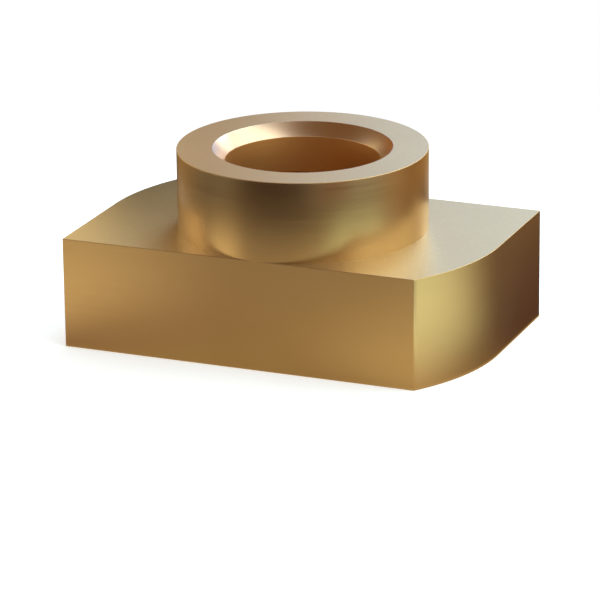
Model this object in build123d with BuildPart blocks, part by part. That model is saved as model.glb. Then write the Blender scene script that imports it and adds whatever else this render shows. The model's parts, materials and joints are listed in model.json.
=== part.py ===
from build123d import *
import os
from math import sqrt

# A sliding nut for a T-slot, in millimetres. Z runs up the thread axis, and the underside lies at Z = 0.
# The nut drops into the slot lengthwise, and its screw turns it a quarter turn until its ends lie under the lips.

# The width passes through the mouth of the slot. The collar has it as its diameter, so it stays in that mouth.
width = 8.0
# The length is also the circle in which the nut turns, so its two leading corners are rounded to that circle.
length = 13.2
block_height = 3.6
collar_height = 2.6

# An M6 x 1 thread, drawn as the plain bore that is drilled for it.
thread_diameter = 6.0
thread_pitch = 1.0
mouth_chamfer = 0.4

# The basic profile of a metric thread is 5/8 as deep as the sharp 60 degree triangle on its pitch.
sharp_triangle_height = thread_pitch * sqrt(3) / 2
thread_depth = sharp_triangle_height * 5 / 8
bore_diameter = thread_diameter - 2 * thread_depth

with BuildPart() as sliding_nut:
    # Two opposite corners follow the turning circle. The other two stay square and stop against the slot's walls.
    with BuildSketch():
        Circle(length / 2)
        Rectangle(length, width, mode=Mode.INTERSECT)
        Rectangle(length / 2, width / 2, align=(Align.MIN, Align.MIN))
        Rectangle(length / 2, width / 2, align=(Align.MAX, Align.MAX))
    extrude(amount=block_height)

    with BuildSketch(Plane.XY.offset(block_height)):
        Circle(width / 2)
    extrude(amount=collar_height)

    Hole(bore_diameter / 2)
    bore = sliding_nut.faces().filter_by(GeomType.CYLINDER).sort_by(SortBy.RADIUS)[0]
    chamfer(bore.edges().filter_by(GeomType.CIRCLE), mouth_chamfer)

os.makedirs("parts", exist_ok=True)
sliding_nut.part.label = "sliding_nut"
export_step(sliding_nut.part, "parts/sliding_nut.step")
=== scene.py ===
import json
import math
import bmesh
import bpy
from mathutils import Matrix, Vector


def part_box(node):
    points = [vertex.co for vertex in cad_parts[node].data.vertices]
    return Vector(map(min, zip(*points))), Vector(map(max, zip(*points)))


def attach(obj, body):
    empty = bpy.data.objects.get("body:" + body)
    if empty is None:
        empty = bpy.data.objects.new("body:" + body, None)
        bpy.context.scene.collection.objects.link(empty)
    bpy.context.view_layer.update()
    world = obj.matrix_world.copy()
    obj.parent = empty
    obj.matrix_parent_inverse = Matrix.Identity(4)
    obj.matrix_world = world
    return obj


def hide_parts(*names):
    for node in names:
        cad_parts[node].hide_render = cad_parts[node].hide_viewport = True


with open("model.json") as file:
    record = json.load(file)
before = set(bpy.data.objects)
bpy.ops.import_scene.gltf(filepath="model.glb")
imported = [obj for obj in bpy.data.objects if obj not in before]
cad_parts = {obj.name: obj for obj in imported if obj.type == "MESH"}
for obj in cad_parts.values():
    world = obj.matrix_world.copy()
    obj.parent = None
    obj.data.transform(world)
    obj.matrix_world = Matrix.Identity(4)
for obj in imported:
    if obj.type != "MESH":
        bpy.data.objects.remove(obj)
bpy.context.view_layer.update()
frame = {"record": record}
print("frame loaded")

mm = 0.001  # the nut is modelled in millimetres and scaled to metres when it is finished
near = 0.0001  # a point this close to a place lies there, in millimetres
loose = 0.004  # the same for points on a circle, which the cuts leave a little off it
weld = 0.00001  # points closer than this are merged
scene = bpy.context.scene


# small helpers for working by hand
def deselectAll():
    if bpy.context.mode != "OBJECT":
        bpy.ops.object.mode_set(mode="OBJECT")
    bpy.ops.object.select_all(action="DESELECT")


def onlySelect(piece):
    deselectAll()
    piece.select_set(True)
    bpy.context.view_layer.objects.active = piece


def editMode(piece):
    onlySelect(piece)
    bpy.ops.object.mode_set(mode="EDIT")
    bpy.ops.mesh.select_mode(type="VERT")
    bpy.ops.mesh.select_all(action="DESELECT")


def objectMode():
    bpy.ops.object.mode_set(mode="OBJECT")


def pickPoints(piece, wanted):
    # selects the points whose place passes the test, in edit mode
    bpy.ops.mesh.select_all(action="DESELECT")
    mesh = bmesh.from_edit_mesh(piece.data)
    for point in mesh.verts:
        point.select_set(bool(wanted(point.co)))
    mesh.select_flush(True)
    bmesh.update_edit_mesh(piece.data)


def tidyShell(piece):
    editMode(piece)
    bpy.ops.mesh.select_all(action="SELECT")
    bpy.ops.mesh.remove_doubles(threshold=weld)
    bpy.ops.mesh.normals_make_consistent(inside=False)
    objectMode()


def applyModifier(piece, kind, **settings):
    onlySelect(piece)
    bpy.ops.object.modifier_add(type=kind)
    modifier = piece.modifiers[-1]
    for name, value in settings.items():
        setattr(modifier, name, value)
    bpy.ops.object.modifier_apply(modifier=modifier.name)


def combine(piece, other, operation):
    applyModifier(piece, "BOOLEAN", operation=operation, solver="EXACT", object=other)
    bpy.data.objects.remove(other)


# nut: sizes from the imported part, in millimetres
low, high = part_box("sliding_nut")
mount = {m["name"]: m["dims"] for m in frame["record"]["mounts"]}
nut = {
    "halfLength": (high.x - low.x) / 2 / mm,
    "halfWidth": (high.y - low.y) / 2 / mm,
    "height": (high.z - low.z) / mm,
    "collarHeight": mount["collar"]["length_mm"],
    "boreRadius": mount["thread"]["r_mm"],
    "boreLength": mount["thread"]["length_mm"],
    "edgeBreak": 0.02,  # what tumbling leaves on a sharp edge
    "breakSteps": 3,
    "rimBreak": 0.016,  # and on the rims of the countersinks
    "rimSteps": 2,
    "sharpAngle": 30,  # degrees, from where on an edge is broken
    "smoothAngle": 35,  # and up to where faces are shaded as one
    "arcSteps": 28,  # along each rounded corner
    "roundSteps": 256,  # round the collar and the bore
    "pitch": 1.0,  # of the thread, M6
    "flankAngle": 60,
    "stepsPerTurn": 96,
    "turns": 4.3,
    "grooveInside": 0.12,  # how far the section of the groove stands into the open bore
    "runOut": 1.1,  # turns over which the groove fades away at each end, so that the countersinks stay whole
    "drawnIn": 0.8,  # how close to the axis its ends are drawn
    "plugPast": 1.0,  # how far the tool for the bore stands out of the nut
}
nut["blockHeight"] = nut["height"] - nut["collarHeight"]
nut["countersink"] = (nut["height"] - nut["boreLength"]) / 2
# five eighths of the height of a sharp thread
nut["threadDepth"] = nut["pitch"] * math.sqrt(3) / 2 * 5 / 8


def makeBlock():
    halfLength, halfWidth, height = nut["halfLength"], nut["halfWidth"], nut["blockHeight"]
    cornerTurn = math.asin(halfWidth / halfLength)
    cornerX = halfLength * math.cos(cornerTurn)
    # the straight half of the right end, stood on edge
    bpy.ops.mesh.primitive_plane_add(size=1, location=(halfLength, halfWidth / 2, height / 2),
                                     rotation=(0, math.pi / 2, 0))
    block = bpy.context.object
    block.scale = (height, halfWidth, 1)
    bpy.ops.object.transform_apply(location=True, rotation=True, scale=True)
    editMode(block)
    # its inner edge swings round the thread axis to the front face, then runs along that face
    pickPoints(block, lambda p: abs(p.y) < near)
    bpy.ops.mesh.spin(steps=nut["arcSteps"], angle=cornerTurn, center=(0, 0, 0), axis=(0, 0, 1))
    pickPoints(block, lambda p: p.y < -halfWidth + near)
    bpy.ops.mesh.extrude_region_move(TRANSFORM_OT_translate={"value": (-halfLength - cornerX, 0, 0)})
    # the other half is the same, half a turn round
    bpy.ops.mesh.select_all(action="SELECT")
    bpy.ops.mesh.spin(steps=1, angle=math.pi, center=(0, 0, 0), axis=(0, 0, 1), dupli=True)
    bpy.ops.mesh.select_all(action="SELECT")
    bpy.ops.mesh.remove_doubles(threshold=near)
    for level in (0, height):
        pickPoints(block, lambda p: abs(p.z - level) < near)
        bpy.ops.mesh.edge_face_add()
    objectMode()
    tidyShell(block)
    applyModifier(block, "BEVEL", width=nut["edgeBreak"], segments=nut["breakSteps"], limit_method="ANGLE",
                  angle_limit=math.radians(nut["sharpAngle"]))
    return block


def makeCollar():
    sunk = nut["edgeBreak"] * 1.5  # it reaches this far into the block
    tall = nut["collarHeight"] + sunk
    bpy.ops.mesh.primitive_cylinder_add(vertices=nut["roundSteps"], radius=nut["halfWidth"], depth=tall,
                                        location=(0, 0, nut["height"] - tall / 2), end_fill_type="NGON")
    collar = bpy.context.object
    # turned by half a step, so that no corner of the round lies on the front face
    collar.rotation_euler.z = math.pi / nut["roundSteps"]
    bpy.ops.object.transform_apply(location=True, rotation=True, scale=True)
    editMode(collar)
    pickPoints(collar, lambda p: p.z > nut["height"] - near)
    bpy.ops.mesh.bevel(offset=nut["edgeBreak"], segments=nut["breakSteps"], affect="EDGES")
    objectMode()
    return collar


def makeBore():
    # a plug as wide as the bore, flared at both ends for the countersinks
    middle = nut["height"] / 2
    out = nut["countersink"] + nut["plugPast"]
    bpy.ops.mesh.primitive_cylinder_add(vertices=nut["roundSteps"], radius=nut["boreRadius"],
                                        depth=nut["boreLength"], location=(0, 0, middle), end_fill_type="NGON")
    plug = bpy.context.object
    bpy.ops.object.transform_apply(location=True, rotation=True, scale=True)
    editMode(plug)
    flare = 1 + out / nut["boreRadius"]  # 45 degrees
    for end, up in ((0, -1), (nut["height"], 1)):
        pickPoints(plug, lambda p: (p.z - middle) * up > 0 and abs(p.z - end) < nut["countersink"] + near)
        bpy.ops.mesh.extrude_region_move(TRANSFORM_OT_translate={"value": (0, 0, up * out)})
        bpy.ops.transform.resize(value=(flare, flare, 1), center_override=(0, 0, end))
    objectMode()
    return plug


def makeThread():
    # one section of the groove is wound up the bore: 60 degree flanks and a flat root
    pitch, turns = nut["pitch"], nut["turns"]
    inner = nut["boreRadius"] - nut["grooveInside"]
    root = nut["boreRadius"] + nut["threadDepth"]
    halfRoot = pitch / 16  # the flat at the root is an eighth of the pitch wide
    halfInner = halfRoot + (root - inner) * math.tan(math.radians(nut["flankAngle"] / 2))
    bottom = (nut["height"] - turns * pitch) / 2
    bpy.ops.mesh.primitive_plane_add(size=1, location=((inner + root) / 2, 0, bottom),
                                     rotation=(math.pi / 2, 0, 0))
    groove = bpy.context.object
    groove.scale = (root - inner, 1, 1)
    bpy.ops.object.transform_apply(location=True, rotation=True, scale=True)
    editMode(groove)
    for radius, half in ((inner, halfInner), (root, halfRoot)):
        pickPoints(groove, lambda p: abs(p.x - radius) < near)
        bpy.ops.transform.resize(value=(1, 1, 2 * half), center_override=(radius, 0, bottom))
    bpy.ops.mesh.select_all(action="SELECT")
    bpy.ops.mesh.delete(type="ONLY_FACE")
    objectMode()
    steps = int(nut["stepsPerTurn"] * turns)
    applyModifier(groove, "SCREW", axis="Z", angle=2 * math.pi * turns, screw_offset=pitch * turns, steps=steps,
                  render_steps=steps, use_smooth_shade=False)
    # both ends are closed and drawn in towards the axis, so that the groove runs out instead of stopping
    points = len(groove.data.vertices)
    corners = 4
    for end in (range(corners), range(points - corners, points)):
        editMode(groove)
        mesh = bmesh.from_edit_mesh(groove.data)
        mesh.verts.ensure_lookup_table()
        for i in end:
            mesh.verts[i].select_set(True)
        mesh.select_flush(True)
        bmesh.update_edit_mesh(groove.data)
        bpy.ops.mesh.edge_face_add()
        bpy.ops.transform.resize(value=(nut["drawnIn"], nut["drawnIn"], 1),
                                 center_override=(0, 0, nut["height"] / 2),
                                 use_proportional_edit=True, use_proportional_connected=True,
                                 proportional_edit_falloff="LINEAR",
                                 proportional_size=2 * math.pi * nut["boreRadius"] * nut["runOut"])
        objectMode()
    # the upper end lies at the back of the bore
    groove.rotation_euler.z = math.pi / 2 - 2 * math.pi * (turns % 1)
    bpy.ops.object.transform_apply(location=True, rotation=True, scale=True)
    tidyShell(groove)
    return groove


def breakRims(piece):
    # the two circles of each countersink lose their sharp edge
    top, sink = nut["height"], nut["countersink"]
    circles = [(nut["boreRadius"] + sink, 0), (nut["boreRadius"], sink), (nut["boreRadius"], top - sink),
               (nut["boreRadius"] + sink, top)]
    for radius, level in circles:
        editMode(piece)
        pickPoints(piece, lambda p: abs(math.hypot(p.x, p.y) - radius) < loose and abs(p.z - level) < loose)
        bpy.ops.mesh.bevel(offset=nut["rimBreak"], segments=nut["rimSteps"], affect="EDGES")
        objectMode()


def creaseCollar(piece):
    # the foot of the collar stays crisp where it meets the block, also where it touches the two flat sides
    top = nut["blockHeight"] + near
    bottom = nut["blockHeight"] - nut["edgeBreak"] * 3  # below where the collar reaches into the block
    editMode(piece)
    pickPoints(piece, lambda p: abs(math.hypot(p.x, p.y) - nut["halfWidth"]) < loose and bottom < p.z < top)
    bpy.ops.mesh.mark_sharp()
    objectMode()


deselectAll()
nutPiece = makeBlock()
print("block", len(nutPiece.data.polygons), [round(v, 4) for v in nutPiece.dimensions])
combine(nutPiece, makeCollar(), "UNION")
print("collar joined", len(nutPiece.data.polygons), [round(v, 4) for v in nutPiece.dimensions])
combine(nutPiece, makeBore(), "DIFFERENCE")
breakRims(nutPiece)
print("bored", len(nutPiece.data.polygons))
combine(nutPiece, makeThread(), "DIFFERENCE")
tidyShell(nutPiece)
creaseCollar(nutPiece)
print("threaded", len(nutPiece.data.polygons), [round(v, 4) for v in nutPiece.dimensions])

nutPiece.name = "slidingNut"
nutPiece.data.name = "slidingNut"
nutPiece.scale = (mm, mm, mm)
bpy.ops.object.transform_apply(location=True, rotation=True, scale=True)


# brass: one metal with a finish for each way that its surface was made
# noises are given by scale per metre, detail and roughness, bumps by strength and depth
brass = {
    "colour": (0.500, 0.328, 0.160),
    "paler": (0.530, 0.358, 0.186),
    "deeper": (0.465, 0.292, 0.128),
    # the countersinks' colours, paler and bluer than the sides': a painted tint that makes their highlight
    # render near white
    "sunk": (0.500, 0.341, 0.224),
    "sunkPaler": (0.525, 0.358, 0.240),
    # painted shade of the recess: the bore's colours are deeper and redder than the brass outside
    "bored": (0.540, 0.265, 0.080),
    "boredDeeper": (0.502, 0.236, 0.066),
    "cloud": (280, 2.0, 0.5),
    "markRange": (0.30, 0.70),  # the part of a noise that is used, for marks and for clouds
    "cloudRange": (0.35, 0.65),
    "cloudShare": 0.5,  # how much of its second colour a cut face has in its clouds
    "coatRoughness": 0.48,
    "coatIor": 1.5,
    "blasted": {
        "colour": (0.572, 0.413, 0.183),
        "paler": (0.600, 0.442, 0.205),
        "deeper": (0.514, 0.359, 0.147),
        "hollows": 0.6,  # how much of the deeper colour is in the hollows of the grain
        "grain": (16000, 3.0, 0.65),
        "cloud": (420, 3.0, 0.55),
        "roughness": (0.46, 0.36),
        "coat": 0.73,  # scatters some plain light at a low angle
        "bump": (0.2, 0.00002),
    },
    "cut": {
        # stretch: how much finer the lines of the tool are up the face than round it
        "turnedBrass": {
            "colours": ("colour", "deeper"),
            "lines": (240, 3.0, 0.6),
            "stretch": 60,
            "roughness": (0.28, 0.32),
            "bump": (0.03, 0.00001),
        },
        "milledBrass": {
            "colours": ("colour", "paler"),
            "lines": (300, 3.0, 0.6),
            "stretch": 40,
            "roughness": (0.39, 0.43),
            "bump": (0.03, 0.00001),
            "lowAngle": (1.00, 0.85, 0.50),  # keeps the face warm where it is seen at a low angle
        },
        # the countersinks get a paler, bluer brass than the sides: a painted tint that makes their highlight
        # render near white
        "sunkBrass": {
            "colours": ("sunk", "sunkPaler"),
            "lines": (700, 3.0, 0.6),
            "stretch": 8,
            "roughness": (0.285, 0.315),
            "bump": (0.01, 0.00001),
        },
        # its colours paint the shade inside the bore; its roughness and tool lines are its own finish
        "boredBrass": {
            "colours": ("bored", "boredDeeper"),
            "lines": (400, 3.0, 0.6),
            "stretch": 30,
            "roughness": (0.48, 0.56),
            "bump": (0.08, 0.00001),
        },
    },
    "worn": {
        "rub": (1800, 3.0, 0.6),
        "roughness": (0.42, 0.54),
        "bump": (0.1, 0.00001),
    },
}


def addNode(tree, kind, **settings):
    node = tree.nodes.new(kind)
    for name, value in settings.items():
        if hasattr(node, name):
            setattr(node, name, value)
        else:
            node.inputs[name.replace("_", " ")].default_value = value
    return node


def startBrass(name, coat=0.0):
    material = bpy.data.materials.new(name)
    material.use_nodes = True
    tree = material.node_tree
    shader = tree.nodes["Principled BSDF"]
    shader.inputs["Metallic"].default_value = 1.0
    shader.inputs["Coat Weight"].default_value = coat
    shader.inputs["Coat Roughness"].default_value = brass["coatRoughness"]
    shader.inputs["Coat IOR"].default_value = brass["coatIor"]
    place = tree.nodes.new("ShaderNodeTexCoord").outputs["Object"]
    return material, tree, shader, place


def stretched(tree, place, x, y, z):
    node = addNode(tree, "ShaderNodeMapping", Scale=(x, y, z))
    tree.links.new(place, node.inputs["Vector"])
    return node.outputs["Vector"]


def noise(tree, vector, scale, detail, rough):
    node = addNode(tree, "ShaderNodeTexNoise", Scale=scale, Detail=detail, Roughness=rough)
    tree.links.new(vector, node.inputs["Vector"])
    return node.outputs["Fac"]


def between(tree, value, reach, result):
    node = addNode(tree, "ShaderNodeMapRange", From_Min=reach[0], From_Max=reach[1],
                   To_Min=result[0], To_Max=result[1])
    tree.links.new(value, node.inputs["Value"])
    return node.outputs["Result"]


def tint(tree, value, first, second):
    # the colour sockets of a Mix node share their names with others, so they go by number
    node = addNode(tree, "ShaderNodeMix", data_type="RGBA")
    tree.links.new(value, node.inputs[0])
    for socket, colour in ((6, first), (7, second)):
        if isinstance(colour, tuple):
            node.inputs[socket].default_value = (*colour, 1)
        else:
            tree.links.new(colour, node.inputs[socket])
    return node.outputs[2]


def finishBrass(tree, shader, colour, roughness, relief, bumpSize):
    tree.links.new(colour, shader.inputs["Base Color"])
    tree.links.new(roughness, shader.inputs["Roughness"])
    bump = addNode(tree, "ShaderNodeBump", Strength=bumpSize[0], Distance=bumpSize[1])
    tree.links.new(relief, bump.inputs["Height"])
    tree.links.new(bump.outputs["Normal"], shader.inputs["Normal"])


def blastedBrass():
    # flats: a fine sandy grain of about 60 micrometres
    look = brass["blasted"]
    material, tree, shader, place = startBrass("blastedBrass", look["coat"])
    grain = noise(tree, place, *look["grain"])
    cloud = noise(tree, place, *look["cloud"])
    colour = tint(tree, between(tree, cloud, brass["cloudRange"], (0, 1)), look["colour"], look["paler"])
    hollows = between(tree, grain, brass["markRange"], (look["hollows"], 0))
    colour = tint(tree, hollows, colour, look["deeper"])
    roughness = between(tree, grain, brass["markRange"], look["roughness"])
    finishBrass(tree, shader, colour, roughness, grain, look["bump"])
    return material


def cutBrass(name):
    # a cut face: faint lines left by the tool run level round it, over slow changes of tone
    look = brass["cut"][name]
    material, tree, shader, place = startBrass(name)
    if "lowAngle" in look:
        shader.inputs["Specular Tint"].default_value = (*look["lowAngle"], 1)
    lines = noise(tree, stretched(tree, place, 1, 1, look["stretch"]), *look["lines"])
    cloud = noise(tree, place, *brass["cloud"])
    first, second = (brass[key] for key in look["colours"])
    colour = tint(tree, between(tree, cloud, brass["cloudRange"], (0, brass["cloudShare"])), first, second)
    roughness = between(tree, lines, brass["markRange"], look["roughness"])
    finishBrass(tree, shader, colour, roughness, lines, look["bump"])
    return material


def wornBrass():
    # broken edges: rubbed, with a tone and a sheen that change along them
    look = brass["worn"]
    material, tree, shader, place = startBrass("wornBrass")
    rub = noise(tree, place, *look["rub"])
    colour = tint(tree, between(tree, rub, brass["markRange"], (0, 1)), brass["deeper"], brass["colour"])
    roughness = between(tree, rub, brass["markRange"], look["roughness"])
    finishBrass(tree, shader, colour, roughness, rub, look["bump"])
    return material


def pickFaces(piece, wanted):
    bpy.ops.mesh.select_all(action="DESELECT")
    bpy.ops.mesh.select_mode(type="FACE")
    mesh = bmesh.from_edit_mesh(piece.data)
    for face in mesh.faces:
        face.select_set(bool(wanted(face.normal, face.calc_center_median() / mm)))
    bmesh.update_edit_mesh(piece.data)


def giveFinishes(piece):
    # where each finish is, by the way a face looks and its place in millimetres
    sink, level = nut["countersink"], nut["blockHeight"]
    flat, upright = 0.999, 0.05  # how far up or down a level face looks, and one that stands
    skin = 0.01
    boreReach = nut["boreRadius"] + nut["threadDepth"] + skin
    mouthReach = nut["boreRadius"] + sink + skin

    def inBore(p):
        return math.hypot(p.x, p.y) < boreReach and sink < p.z < nut["height"] - sink

    def inMouth(p):
        return math.hypot(p.x, p.y) < mouthReach and not inBore(p)

    places = [
        (blastedBrass(), lambda n, p: abs(n.z) > flat and not inBore(p)),
        (cutBrass("milledBrass"), lambda n, p: abs(n.z) < upright and p.z < level and not inBore(p)),
        (cutBrass("turnedBrass"), lambda n, p: abs(n.z) < upright and p.z > level and not inBore(p)),
        (cutBrass("sunkBrass"), lambda n, p: abs(n.z) < flat and inMouth(p)),
        (cutBrass("boredBrass"), lambda n, p: inBore(p)),
        (wornBrass(), lambda n, p: upright <= abs(n.z) <= flat and not inBore(p) and not inMouth(p)),
    ]
    for i, (material, wanted) in enumerate(places):
        piece.data.materials.append(material)
        editMode(piece)
        pickFaces(piece, wanted)
        piece.active_material_index = i
        bpy.ops.object.material_slot_assign()
        objectMode()


giveFinishes(nutPiece)
onlySelect(nutPiece)
bpy.ops.object.shade_smooth_by_angle(angle=math.radians(nut["smoothAngle"]))
applyModifier(nutPiece, "WEIGHTED_NORMAL", keep_sharp=True)
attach(nutPiece, "root")
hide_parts("sliding_nut")
finishes = [face.material_index for face in nutPiece.data.polygons]
print("finished", {material.name: finishes.count(i) for i, material in enumerate(nutPiece.data.materials)})


# camera: where the photograph was taken from, in degrees and millimetres
view = {
    "azimuth": 22.3915,  # to the right of straight in front
    "elevation": 18.8411,
    "roll": -0.6838,
    "distance": 122.9683,
    "lens": 229.269,
    "sensor": 36,
    "pixels": 600,
    "centreX": 304.6839,  # where the thread axis meets the floor, in pixels
    "centreY": 331.0311,
    "clip": (0.001, 10),  # metres
}


def makeCamera():
    az, el, roll = (math.radians(view[k]) for k in ("azimuth", "elevation", "roll"))
    back = Vector((math.sin(az) * math.cos(el), -math.cos(az) * math.cos(el), math.sin(el)))
    level = Vector((math.cos(az), math.sin(az), 0))
    upright = back.cross(level)
    right = math.cos(roll) * level + math.sin(roll) * upright
    up = math.cos(roll) * upright - math.sin(roll) * level
    middle = view["pixels"] / 2
    perPixel = view["distance"] * view["sensor"] / (view["pixels"] * view["lens"])
    eye = (back * view["distance"] - right * (view["centreX"] - middle) * perPixel +
           up * (view["centreY"] - middle) * perPixel)
    bpy.ops.object.camera_add()
    camera = bpy.context.object
    camera.name = "photoCamera"
    camera.data.lens = view["lens"]
    camera.data.sensor_width = view["sensor"]
    camera.data.clip_start, camera.data.clip_end = view["clip"]
    pose = Matrix((right, up, back)).transposed().to_4x4()
    pose.translation = eye * mm
    camera.matrix_world = pose
    scene.camera = camera


makeCamera()
print("camera set")


# studio: brightness 1 is white; azimuth 0 is in front, 90 to the right, distances and sizes in millimetres
studio = {
    "room": 0.57,  # what the floor gets from all around
    # lamps: azimuth, elevation, distance, size, brightness
    "lamps": {
        "keyLamp": (103, 42, 122, (168, 106), (1.89, 2.38, 2.42)),
        "backLamp": (177, 42, 148, (55, 88), (3.03, 4.63, 5.65)),
        "leftLamp": (267, 12, 125, (66, 52), (2.07, 1.98, 1.34)),
        "rearLamp": (161, 25, 112, (41, 41), (2.32, 2.46, 2.57)),
    },
    # cards that only show in the metal, hung round the nut with their faces to it, in the same order of values
    "cards": {
        "leftFlag": (225, 34, 99, (164, 129), (0.40, 0.27, 0.15)),
        "frontFlag": (357, 12, 78, (175, 62), (0.03, 0.00, 0.00)),
        "topFlag": (303, 67, 67, (146, 137), (0.28, 0.15, 0.05)),
        "rearGlow": (191, 21, 66, (37, 54), (0.76, 1.02, 1.64)),
        "rearDark": (215, 18, 66, (54, 56), (0.48, 0.17, 0.00)),
        "leftWall": (233, 5, 8, (10, 10), (0.13, 0.06, 0.02)),
        "leftGlow": (252, 27, 12, (12, 7), (1.42, 1.26, 0.77)),
        "rightWall": (50, 10, 25, (18, 8), (0.35, 0.07, 0.02)),
        "endFlag": (143, 7, 41, (55, 23), (0.23, 0.14, 0.08)),
    },
    # and cards that lie on the paper: azimuth, distance, size, brightness
    "mats": {
        "warmMat": (0, 0, (60, 60), (0.60, 0.48, 0.27)),
        "frontMat": (42, 9.5, (14, 11), (1.10, 0.95, 0.56)),
        "cornerMat": (318, 10.2, (12.8, 10.3), (0.52, 0.37, 0.25)),
        "darkMat": (137, 12.2, (23.9, 30.4), (0.07, 0.00, 0.00)),
        "rightMat": (69, 16.6, (21.9, 20.1), (1.78, 2.25, 1.69)),
        "leftMat": (314, 14.4, (11.3, 13.4), (1.60, 1.44, 0.93)),
    },
    "matStep": 0.02,  # each mat lies this much above the one before
    "softEdge": (0.50, 0.15),  # where a card is clear and where full, in parts of its size from its middle
    "paper": (0.95, 0.95, 0.95),
    "lift": 0.35,  # added where the camera or the metal sees the paper, so that it is white
    "paperLevel": -0.01,
    "paperFull": 10.4,  # the paper is solid as far as this from the axis
    "paperGone": 27.5,  # has faded away here
    "paperRim": 30.25,  # and its disc ends here
    "closeRay": 0.05,  # a shorter ray comes from the nut's underside, which is left open to the room below
    "tableRadius": 600,
    "tableLevel": -2,
    "tableNear": (0.01, 0.00, 0.00),  # the table beyond the paper, in front and behind
    "tableFar": (0.67, 0.37, 0.08),
    "tableTurn": (-20, 50),  # where it passes from the one to the other
}


def placeAround(piece, azimuth, elevation, distance):
    az, el = math.radians(azimuth), math.radians(elevation)
    away = Vector((math.sin(az) * math.cos(el), -math.cos(az) * math.cos(el), math.sin(el)))
    target = Vector((0, 0, nut["height"] / 2)) * mm
    piece.location = target + away * distance * mm
    piece.rotation_euler = away.to_track_quat("Z", "Y").to_euler()


def layOnPaper(piece, azimuth, distance, height):
    az = math.radians(azimuth)
    piece.location = Vector((math.sin(az) * distance, -math.cos(az) * distance, height)) * mm
    piece.rotation_euler = (0, 0, az)


def onlyInReflections(piece):
    for way in ("visible_camera", "visible_diffuse", "visible_transmission", "visible_shadow"):
        setattr(piece, way, False)


def makeLamp(name, azimuth, elevation, distance, size, brightness):
    bpy.ops.object.light_add(type="AREA")
    lamp = bpy.context.object
    lamp.name = name
    lamp.data.shape = "RECTANGLE"
    lamp.data.size, lamp.data.size_y = size[0] * mm, size[1] * mm
    level = max(brightness)
    lamp.data.energy = level * math.pi * size[0] * size[1] * mm * mm
    lamp.data.color = [part / level for part in brightness]
    lamp.visible_camera = False
    placeAround(lamp, azimuth, elevation, distance)


def glowOnly(tree, colour, strength=1.0):
    return addNode(tree, "ShaderNodeEmission", Color=(*colour, 1), Strength=strength).outputs["Emission"]


def mixed(tree, fac, first, second):
    node = tree.nodes.new("ShaderNodeMixShader")
    for socket, source in zip(node.inputs, (fac, first, second)):
        tree.links.new(source, socket)
    return node.outputs["Shader"]


def maths(tree, operation, first, second):
    # sums stay within 1
    node = addNode(tree, "ShaderNodeMath", operation=operation, use_clamp=operation == "ADD")
    for socket, source in zip(node.inputs, (first, second)):
        if isinstance(source, (int, float)):
            socket.default_value = source
        else:
            tree.links.new(source, socket)
    return node.outputs["Value"]


def eased(tree, value, start, end):
    # 0 at the start and 1 at the end
    node = addNode(tree, "ShaderNodeMapRange", interpolation_type="SMOOTHSTEP", From_Min=start, From_Max=end)
    tree.links.new(value, node.inputs["Value"])
    return node.outputs["Result"]


def coordinates(tree, kind):
    return tree.nodes.new("ShaderNodeTexCoord").outputs[kind]


def parts(tree, vector):
    node = tree.nodes.new("ShaderNodeSeparateXYZ")
    tree.links.new(vector, node.inputs["Vector"])
    return node.outputs


def fromAxis(tree):
    node = addNode(tree, "ShaderNodeVectorMath", operation="LENGTH")
    tree.links.new(coordinates(tree, "Object"), node.inputs[0])
    return node.outputs["Value"]


def fromBelow(tree):
    return tree.nodes.new("ShaderNodeNewGeometry").outputs["Backfacing"]


def seenStraight(tree, ray):
    # the camera, metal and glass see the room and the paper white, and matt surfaces get less light from them
    straight = maths(tree, "ADD", ray.outputs["Is Camera Ray"], ray.outputs["Is Glossy Ray"])
    return maths(tree, "ADD", straight, ray.outputs["Is Transmission Ray"])


def startStage(name):
    material = bpy.data.materials.new(name)
    material.use_nodes = True
    tree = material.node_tree
    tree.nodes.remove(tree.nodes["Principled BSDF"])
    return material, tree


def finishStage(piece, material, share, look):
    # the look shows by its share, and the rest is clear
    tree = material.node_tree
    clear = tree.nodes.new("ShaderNodeBsdfTransparent").outputs["BSDF"]
    tree.links.new(mixed(tree, share, clear, look), tree.nodes["Material Output"].inputs["Surface"])
    material.cycles.emission_sampling = "NONE"
    piece.data.materials.append(material)


def makeCard(name, size, brightness):
    # a card with soft edges, which only shows in the metal
    bpy.ops.mesh.primitive_plane_add(size=1)
    card = bpy.context.object
    card.name = name
    card.scale = (size[0] * mm, size[1] * mm, 1)
    material, tree = startStage(name)
    across = parts(tree, coordinates(tree, "UV"))
    inside = 1.0
    for axis in ("X", "Y"):
        fromMiddle = maths(tree, "ABSOLUTE", maths(tree, "SUBTRACT", across[axis], 0.5), 0)
        inside = maths(tree, "MULTIPLY", inside, eased(tree, fromMiddle, *studio["softEdge"]))
    finishStage(card, material, inside, glowOnly(tree, brightness))
    onlyInReflections(card)
    return card


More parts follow.
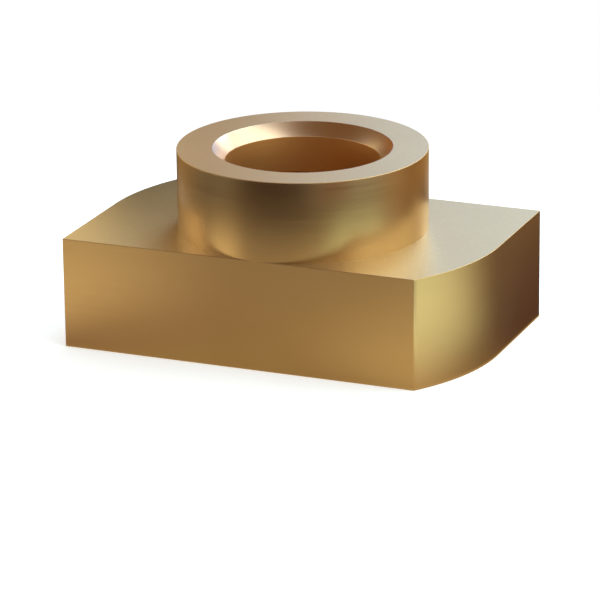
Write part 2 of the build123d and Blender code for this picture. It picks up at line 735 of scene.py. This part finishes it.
def makePaper():
    # the sheet that the nut stands on: white, with the nut's shadow, and faded out before its edge
    bpy.ops.mesh.primitive_circle_add(vertices=96, radius=studio["paperRim"] * mm, fill_type="NGON",
                                      location=(0, 0, studio["paperLevel"] * mm))
    paper = bpy.context.object
    paper.name = "paperFloor"
    material, tree = startStage("paperFloor")
    ray = tree.nodes.new("ShaderNodeLightPath")
    matt = addNode(tree, "ShaderNodeBsdfDiffuse", Color=(*studio["paper"], 1)).outputs["BSDF"]
    lifted = tree.nodes.new("ShaderNodeAddShader")
    tree.links.new(matt, lifted.inputs[0])
    tree.links.new(glowOnly(tree, (1, 1, 1), studio["lift"]), lifted.inputs[1])
    look = mixed(tree, seenStraight(tree, ray), matt, lifted.outputs["Shader"])
    # only from above, and not for the short rays from under the nut
    above = maths(tree, "SUBTRACT", 1.0, fromBelow(tree))
    solid = eased(tree, fromAxis(tree), studio["paperGone"] * mm, studio["paperFull"] * mm)
    apart = maths(tree, "GREATER_THAN", ray.outputs["Ray Length"], studio["closeRay"] * mm)
    share = maths(tree, "MULTIPLY", maths(tree, "MULTIPLY", above, solid), apart)
    finishStage(paper, material, share, look)


def makeTable():
    # the dim table beyond the paper, which only shows in the metal
    bpy.ops.mesh.primitive_circle_add(vertices=64, radius=studio["tableRadius"] * mm, fill_type="NGON",
                                      location=(0, 0, studio["tableLevel"] * mm))
    table = bpy.context.object
    table.name = "dimTable"
    material, tree = startStage("dimTable")
    start, end = (edge * mm for edge in studio["tableTurn"])
    behind = eased(tree, parts(tree, coordinates(tree, "Object"))["Y"], start, end)
    look = mixed(tree, behind, glowOnly(tree, studio["tableNear"]), glowOnly(tree, studio["tableFar"]))
    # open under the paper and from below
    beyond = maths(tree, "GREATER_THAN", fromAxis(tree), studio["paperFull"] * mm)
    share = maths(tree, "MULTIPLY", beyond, maths(tree, "SUBTRACT", 1.0, fromBelow(tree)))
    finishStage(table, material, share, look)
    onlyInReflections(table)


def makeRoom():
    room = bpy.data.worlds.new("room")
    room.use_nodes = True
    tree = room.node_tree
    tree.nodes.clear()
    white = (1, 1, 1, 1)
    dim = addNode(tree, "ShaderNodeBackground", Color=white, Strength=studio["room"]).outputs["Background"]
    full = addNode(tree, "ShaderNodeBackground", Color=white, Strength=1.0).outputs["Background"]
    straight = seenStraight(tree, tree.nodes.new("ShaderNodeLightPath"))
    out = tree.nodes.new("ShaderNodeOutputWorld")
    tree.links.new(mixed(tree, straight, dim, full), out.inputs["Surface"])
    room.cycles.sampling_method = "NONE"
    scene.world = room


makeRoom()
makePaper()
makeTable()
for name, values in studio["lamps"].items():
    makeLamp(name, *values)
for name, (azimuth, elevation, distance, size, brightness) in studio["cards"].items():
    placeAround(makeCard(name, size, brightness), azimuth, elevation, distance)
for i, (name, (azimuth, distance, size, brightness)) in enumerate(studio["mats"].items()):
    layOnPaper(makeCard(name, size, brightness), azimuth, distance, studio["matStep"] * (i + 1))
scene.view_settings.view_transform = "Standard"
print("studio lit")
